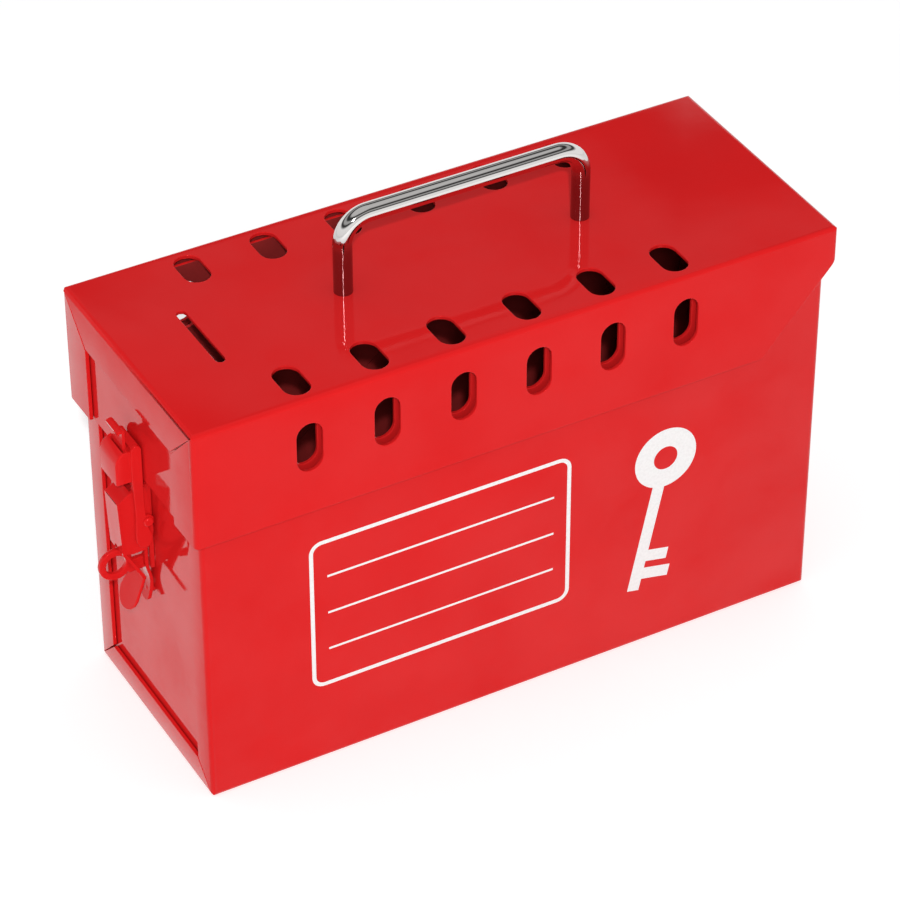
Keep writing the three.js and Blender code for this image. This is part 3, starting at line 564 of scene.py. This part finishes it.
# Left, right, bottom and top
PANEL = (-84 * MM, 22 * MM, 34 * MM, 100 * MM)
PANEL_LINE = 1.6 * MM
PANEL_CORNER = 5 * MM
PANEL_CORNER_STEPS = 8
PANEL_RULES = 3
RULE_LINE = 0.9 * MM
RULE_INSET = 7 * MM
KEY_CENTRE = (62 * MM, 84 * MM)
KEY_BOW = 13 * MM
KEY_BOW_FACETS = 48
KEY_HOLE = 5 * MM
KEY_STEM = 46 * MM
KEY_STEM_WIDTH = 5 * MM
# The bow's ink laps over the stem, which ends at this share of the bow's radius
KEY_NECK = 0.97
KEY_LAP = 0.01 * MM
# Each bit's height on the stem and its reach, in widths of the stem
KEY_BITS = ((1.0, 2.3), (2.6, 1.8))
KEY_TILT = math.radians(-12)


def printed(name, draw):
    """A shape drawn in (across, up), as thick as the ink, then stood on the front wall."""
    work = bmesh.new()
    draw(work)
    grown = bmesh.ops.extrude_face_region(work, geom=work.faces[:])["geom"]
    bmesh.ops.translate(work, vec=(0, 0, PRINT_INK), verts=verts_of(grown))
    bmesh.ops.transform(work, verts=work.verts, matrix=Matrix((
        (1, 0, 0, 0), (0, 0, -1, PRINT_BACK), (0, 1, 0, 0), (0, 0, 0, 1),
    )))
    bmesh.ops.recalc_face_normals(work, faces=work.faces)
    piece = add_piece(name, work, "box_body", "red_gloss")
    piece.data.materials[0] = WHITE_PRINT


def add_bar(work, x0, x1, z0, z1):
    grid = bmesh.ops.create_grid(work, x_segments=1, y_segments=1, size=0.5)["verts"]
    bmesh.ops.scale(work, vec=(x1 - x0, z1 - z0, 1), verts=grid)
    bmesh.ops.translate(work, vec=((x0 + x1) / 2, (z0 + z1) / 2, 0), verts=grid)
    return grid


def keep_rim(work, width):
    """Leaves only a rim of the given width of the shape drawn so far."""
    rim = bmesh.ops.inset_region(work, faces=work.faces[:], thickness=width, use_boundary=True)["faces"]
    bmesh.ops.delete(work, geom=[face for face in work.faces if face not in rim], context="FACES")


def draw_panel(work):
    x0, x1, z0, z1 = PANEL
    bmesh.ops.bevel(
        work, geom=add_bar(work, x0, x1, z0, z1), offset=PANEL_CORNER, affect="VERTICES",
        segments=PANEL_CORNER_STEPS, profile=0.5, material=-1,
    )
    keep_rim(work, PANEL_LINE)
    for k in range(1, PANEL_RULES + 1):
        height = z0 + (z1 - z0) * k / (PANEL_RULES + 1)
        add_bar(work, x0 + RULE_INSET, x1 - RULE_INSET, height - RULE_LINE / 2, height + RULE_LINE / 2)


def draw_key(work):
    bmesh.ops.create_circle(work, cap_ends=True, segments=KEY_BOW_FACETS, radius=KEY_BOW)
    keep_rim(work, KEY_BOW - KEY_HOLE)
    bmesh.ops.translate(work, vec=(0, 0, KEY_LAP), verts=work.verts)
    half = KEY_STEM_WIDTH / 2
    end = -KEY_BOW - KEY_STEM
    add_bar(work, -half, half, end, -KEY_BOW * KEY_NECK)
    for low, reach in KEY_BITS:
        bit = end + low * KEY_STEM_WIDTH
        add_bar(work, half, half + reach * KEY_STEM_WIDTH, bit, bit + KEY_STEM_WIDTH)
    bmesh.ops.rotate(work, verts=work.verts, cent=(0, 0, 0), matrix=Matrix.Rotation(KEY_TILT, 3, "Z"))
    bmesh.ops.translate(work, verts=work.verts, vec=(*KEY_CENTRE, 0))


# Latch. Outlines are (out from the body's end plate, height) in mm.
LATCH_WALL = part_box("body_latch_end")[0][0]
# An edge runs along an axis when its direction's part on it is over this
RUNS_ALONG = 0.999


def latch_point(out, height, across):
    return Vector((LATCH_WALL - out * MM, across, height * MM))


def flat_plate(work, corners, step):
    """A plate from its ordered corners, as thick as the step that lifts them."""
    face = work.faces.new([work.verts.new(corner) for corner in corners])
    grown = bmesh.ops.extrude_face_region(work, geom=[face])["geom"]
    bmesh.ops.translate(work, vec=step, verts=verts_of(grown))


def thick_outline(work, points, low, high):
    """A flat plate of the given (out, height) outline between two distances across."""
    flat_plate(work, [latch_point(*point, low) for point in points], Vector((0, high - low, 0)))


def edges_along(work, axis, low, high):
    """The edges that run along one axis with their height between two values."""
    return [
        edge for edge in work.edges
        if abs((edge.verts[1].co - edge.verts[0].co).normalized()[axis]) > RUNS_ALONG
        and low * MM < edge.verts[0].co.z < high * MM
    ]


def round_outline(centre, radius, facets):
    return [(
        centre[0] + radius * math.cos(math.tau * k / facets),
        centre[1] + radius * math.sin(math.tau * k / facets),
    ) for k in range(facets)]


# Link: a hood of folded sheet between two arms, and the bar that the hook holds
HOOD_SHEET = 1.2 * MM
HOOD_INSET = 0.5 * MM
HOOD_CORNER = 3.2 * MM
HOOD_CORNER_STEPS = 6
# The cheeks' outline: along the lower edge, up the front, then over the roof and down the back
HOOD_FRONT = ((8.4, 119.0), (14.15, 119.0), (14.15, 127.4), (13.7, 129.3), (12.6, 131.0), (11.0, 132.0))
HOOD_BACK = ((9.6, 132.2), (7.4, 131.6), (5.8, 130.2), (5.0, 127.6), (4.9, 118.4))
ARM = (
    (8.4, 118.6), (8.4, 130.6), (8.1, 132.3), (7.1, 133.5), (5.9, 133.9), (4.9, 133.4), (4.3, 132.2),
    (4.3, 118.6), (4.3, 108), (3.9, 101), (3.3, 97.4), (2.2, 94.6), (1.75, 92.4), (2.0, 90.6), (3.0, 89.3),
    (4.4, 88.8), (5.9, 89.1), (7.1, 90.1), (7.9, 92), (8.1, 94.4), (7.9, 98), (7.75, 104), (8.0, 112),
)
ARM_THICKNESS = 1.5 * MM
PIN_LUG = round_outline((3.3, 100.0), 2.35, 24)
BAR = ((4.6, 131.9), (7.9, 131.9), (7.9, 133.1), (4.6, 133.1))
# The pin's lugs and the bar stop this far inside the arms' faces
ARM_SETBACK = 0.12 * MM


def link_hood(half):
    """Front and roof in one strip, its long edges folded into two cheeks; open at the back."""
    work = bmesh.new()
    near = [work.verts.new(latch_point(*point, -half)) for point in HOOD_FRONT]
    near_folds = [work.edges.new(pair) for pair in zip(near[1:], near[2:])]
    grown = bmesh.ops.extrude_edge_only(work, edges=near_folds)["geom"]
    bmesh.ops.translate(work, vec=(0, 2 * half, 0), verts=verts_of(grown))
    far_folds = ring_of(grown)
    far = sorted(verts_of(grown), key=lambda vert: vert.co.z)
    far.insert(0, work.verts.new(latch_point(*HOOD_FRONT[0], half)))
    for side, corners in ((-half, near), (half, far)):
        work.faces.new(corners + [work.verts.new(latch_point(*point, side)) for point in HOOD_BACK])
    bmesh.ops.recalc_face_normals(work, faces=work.faces)
    if min(work.faces, key=lambda face: face.calc_center_median().x).normal.x > 0:
        bmesh.ops.reverse_faces(work, faces=work.faces)
    bmesh.ops.bevel(
        work, geom=near_folds + far_folds, offset=HOOD_CORNER, affect="EDGES",
        segments=HOOD_CORNER_STEPS, profile=0.5, material=-1, clamp_overlap=True,
    )
    return work


def latch_link():
    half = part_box("latch_link")[1][1]
    hood = add_instead("latch_link", "link_hood", link_hood(half - HOOD_INSET))
    sheet = hood.modifiers.new("sheet", "SOLIDIFY")
    sheet.thickness = HOOD_SHEET
    sheet.offset = -1
    sheet.use_even_offset = True
    round_edges(hood, HOOD_BEVEL)
    work = bmesh.new()
    for side in (-1, 1):
        for shape, setback in ((ARM, 0), (PIN_LUG, ARM_SETBACK)):
            faces = (side * (half - ARM_THICKNESS + setback), side * (half - setback))
            thick_outline(work, shape, min(faces), max(faces))
    thick_outline(work, BAR, ARM_SETBACK - half, half - ARM_SETBACK)
    bmesh.ops.recalc_face_normals(work, faces=work.faces)
    round_edges(add_instead("latch_link", "link_arms", work), ARM_BEVEL)


# Base: the strap's foot, bent out and in again under the eye
FOOT = (
    (3.6, 92.0), (3.6, 76.8), (2.0, 70.6), (2.2, 66.0), (3.7, 60.3), (2.3, 60.3), (0.75, 66.0),
    (0.55, 70.2), (2.15, 76.2), (2.15, 92.0),
)
FOOT_HALF = 2.7 * MM
# The bends across the foot and the corners of its end: axis, lowest, highest and radius in mm
FOOT_ROUNDS = ((1, 65, 80, 2.0), (0, 59, 61, 1.9))
FOOT_ROUND_STEPS = 5


def latch_base_foot():
    work = bmesh.new()
    thick_outline(work, FOOT, -FOOT_HALF, FOOT_HALF)
    for axis, low, high, radius in FOOT_ROUNDS:
        bmesh.ops.bevel(
            work, geom=edges_along(work, axis, low, high), offset=radius * MM, affect="EDGES",
            segments=FOOT_ROUND_STEPS, profile=0.5, material=-1,
        )
    bmesh.ops.recalc_face_normals(work, faces=work.faces)
    round_edges(add_instead("latch_base", "latch_base_foot", work), BASE_BEVEL)


# Padlock eye: a turned ring on a neck
EYE_CENTRE = (14.0, 80.0)
EYE_HOLE = 3.85 * MM
EYE_RADIUS = 6.5 * MM
EYE_HALF = 1.0 * MM
EYE_STEPS = 48
EYE_NECK = ((2.1, 74.9), (9.4, 74.6), (9.4, 80.2), (2.1, 80.2))


def padlock_eye():
    work = bmesh.new()
    corners = [work.verts.new((radius, 0, along)) for radius, along in (
        (EYE_HOLE, -EYE_HALF), (EYE_RADIUS, -EYE_HALF), (EYE_RADIUS, EYE_HALF), (EYE_HOLE, EYE_HALF),
    )]
    loop = [work.edges.new(pair) for pair in zip(corners, corners[1:] + corners[:1])]
    spun(work, corners, loop, EYE_STEPS)
    place = Matrix.Translation(latch_point(*EYE_CENTRE, 0)) @ Matrix.Rotation(math.pi / 2, 4, "X")
    bmesh.ops.transform(work, matrix=place, verts=work.verts)
    thick_outline(work, EYE_NECK, -EYE_HALF, EYE_HALF)
    bmesh.ops.recalc_face_normals(work, faces=work.faces)
    round_edges(add_instead("padlock_eye", "padlock_eye_ring", work), EYE_BEVEL, segments=3)


# Lever: the CAD channel down to its waist, a smooth leaf for the finger and a curled top
LEVER_CUT = 74.2
BASE_CUT = 76.0
LEAF_WAIST = (5.3, 74.4)
LEAF_TIP = (12.2, 59.75)
LEAF_SHEET = 1.2 * MM
LEAF_WAIST_HALF = 5.1 * MM
LEAF_HALF = 6.4 * MM
LEAF_FACETS = 40
LEVER_TOP = (
    (13.95, 109.0), (13.8, 109.7), (13.0, 110.15), (12.0, 110.9), (10.8, 111.8), (9.2, 112.8), (8.5, 113.1),
    (8.4, 111.6), (12.4, 108.8),
)
LEVER_TOP_HALF = 5.15 * MM


def finger_leaf():
    """A flat leaf, wider towards its round end, laid from the waist to the tip."""
    start, end = latch_point(*LEAF_WAIST, 0), latch_point(*LEAF_TIP, 0)
    along = (end - start).normalized()
    across = Vector((0, 1, 0))
    middle = start + along * ((end - start).length - LEAF_HALF)
    turns = [math.pi * k / LEAF_FACETS for k in range(LEAF_FACETS + 1)]
    rim = [
        middle + (across * math.cos(turn) + along * math.sin(turn)) * LEAF_HALF for turn in turns
    ]
    waist = [start - across * LEAF_WAIST_HALF, start + across * LEAF_WAIST_HALF]
    work = bmesh.new()
    flat_plate(work, rim + waist, along.cross(across) * LEAF_SHEET)
    bmesh.ops.recalc_face_normals(work, faces=work.faces)
    round_edges(add_instead("latch_lever", "finger_leaf", work), LEVER_BEVEL, segments=3)


def lever_top():
    """The lever's face curls in over its pivot and closes the channel."""
    work = bmesh.new()
    thick_outline(work, LEVER_TOP, -LEVER_TOP_HALF, LEVER_TOP_HALF)
    bmesh.ops.recalc_face_normals(work, faces=work.faces)
    round_edges(add_instead("latch_lever", "lever_top", work), LEVER_TOP_BEVEL)


def trimmed_below(name, height, bevel):
    """The finished copy of a node, cut off level at a height and closed there."""
    piece = fine_copy(name, bevel)
    work = bmesh.new()
    work.from_mesh(piece.data)
    bmesh.ops.bisect_plane(
        work, geom=work.verts[:] + work.edges[:] + work.faces[:], dist=TOUCHING,
        plane_co=(0, 0, height * MM), plane_no=(0, 0, 1), clear_inner=True,
    )
    bmesh.ops.holes_fill(work, edges=[edge for edge in work.edges if edge.is_boundary], sides=0)
    work.to_mesh(piece.data)
    work.free()


LATCH_RIVETS = (
    "latch_base_rivet_1", "latch_base_rivet_2", "padlock_eye_rivet", "keeper_rivet_1", "keeper_rivet_2",
)
HINGE_RIVETS = tuple(f"hinge_{leaf}_rivet_{k}" for leaf in ("body", "lid") for k in (1, 2, 3))

finish_nodes()
latch_link()
latch_base_foot()
padlock_eye()
finger_leaf()
lever_top()
trimmed_below("latch_lever", LEVER_CUT, LEVER_BEVEL)
trimmed_below("latch_base", BASE_CUT, BASE_BEVEL)
printed("write_on_panel", draw_panel)
printed("key_symbol", draw_key)
# The shells and end plates get painted shade on their inner faces
for shell in ("lid_shell", "body_shell"):
    shade_inside(shell, fine_copy(shell, SHELL_BEVEL, clamp=False))
for plate in ("lid_latch_end", "body_latch_end", "body_hinge_end"):
    shade_plate_inside(fine_copy(plate, PLATE_BEVEL))
fine_copy("keeper_hook", HOOK_BEVEL)
for leaf in ("hinge_body_leaf", "hinge_lid_leaf"):
    fine_copy(leaf, HINGE_BEVEL)
for rivet in LATCH_RIVETS:
    riveted(rivet, -1)
for rivet in HINGE_RIVETS:
    riveted(rivet, 1)
for pin, *sizes_mm in PINS:
    pinned(pin, *(size * MM for size in sizes_mm))
carrying_handle()

add_camera()
add_floor()
light_world()
add_lamp("key_lamp", *KEY_LAMP)
add_lamp("soft_lamp", *SOFT_LAMP)
scene = bpy.context.scene
scene.view_settings.view_transform = "Standard"
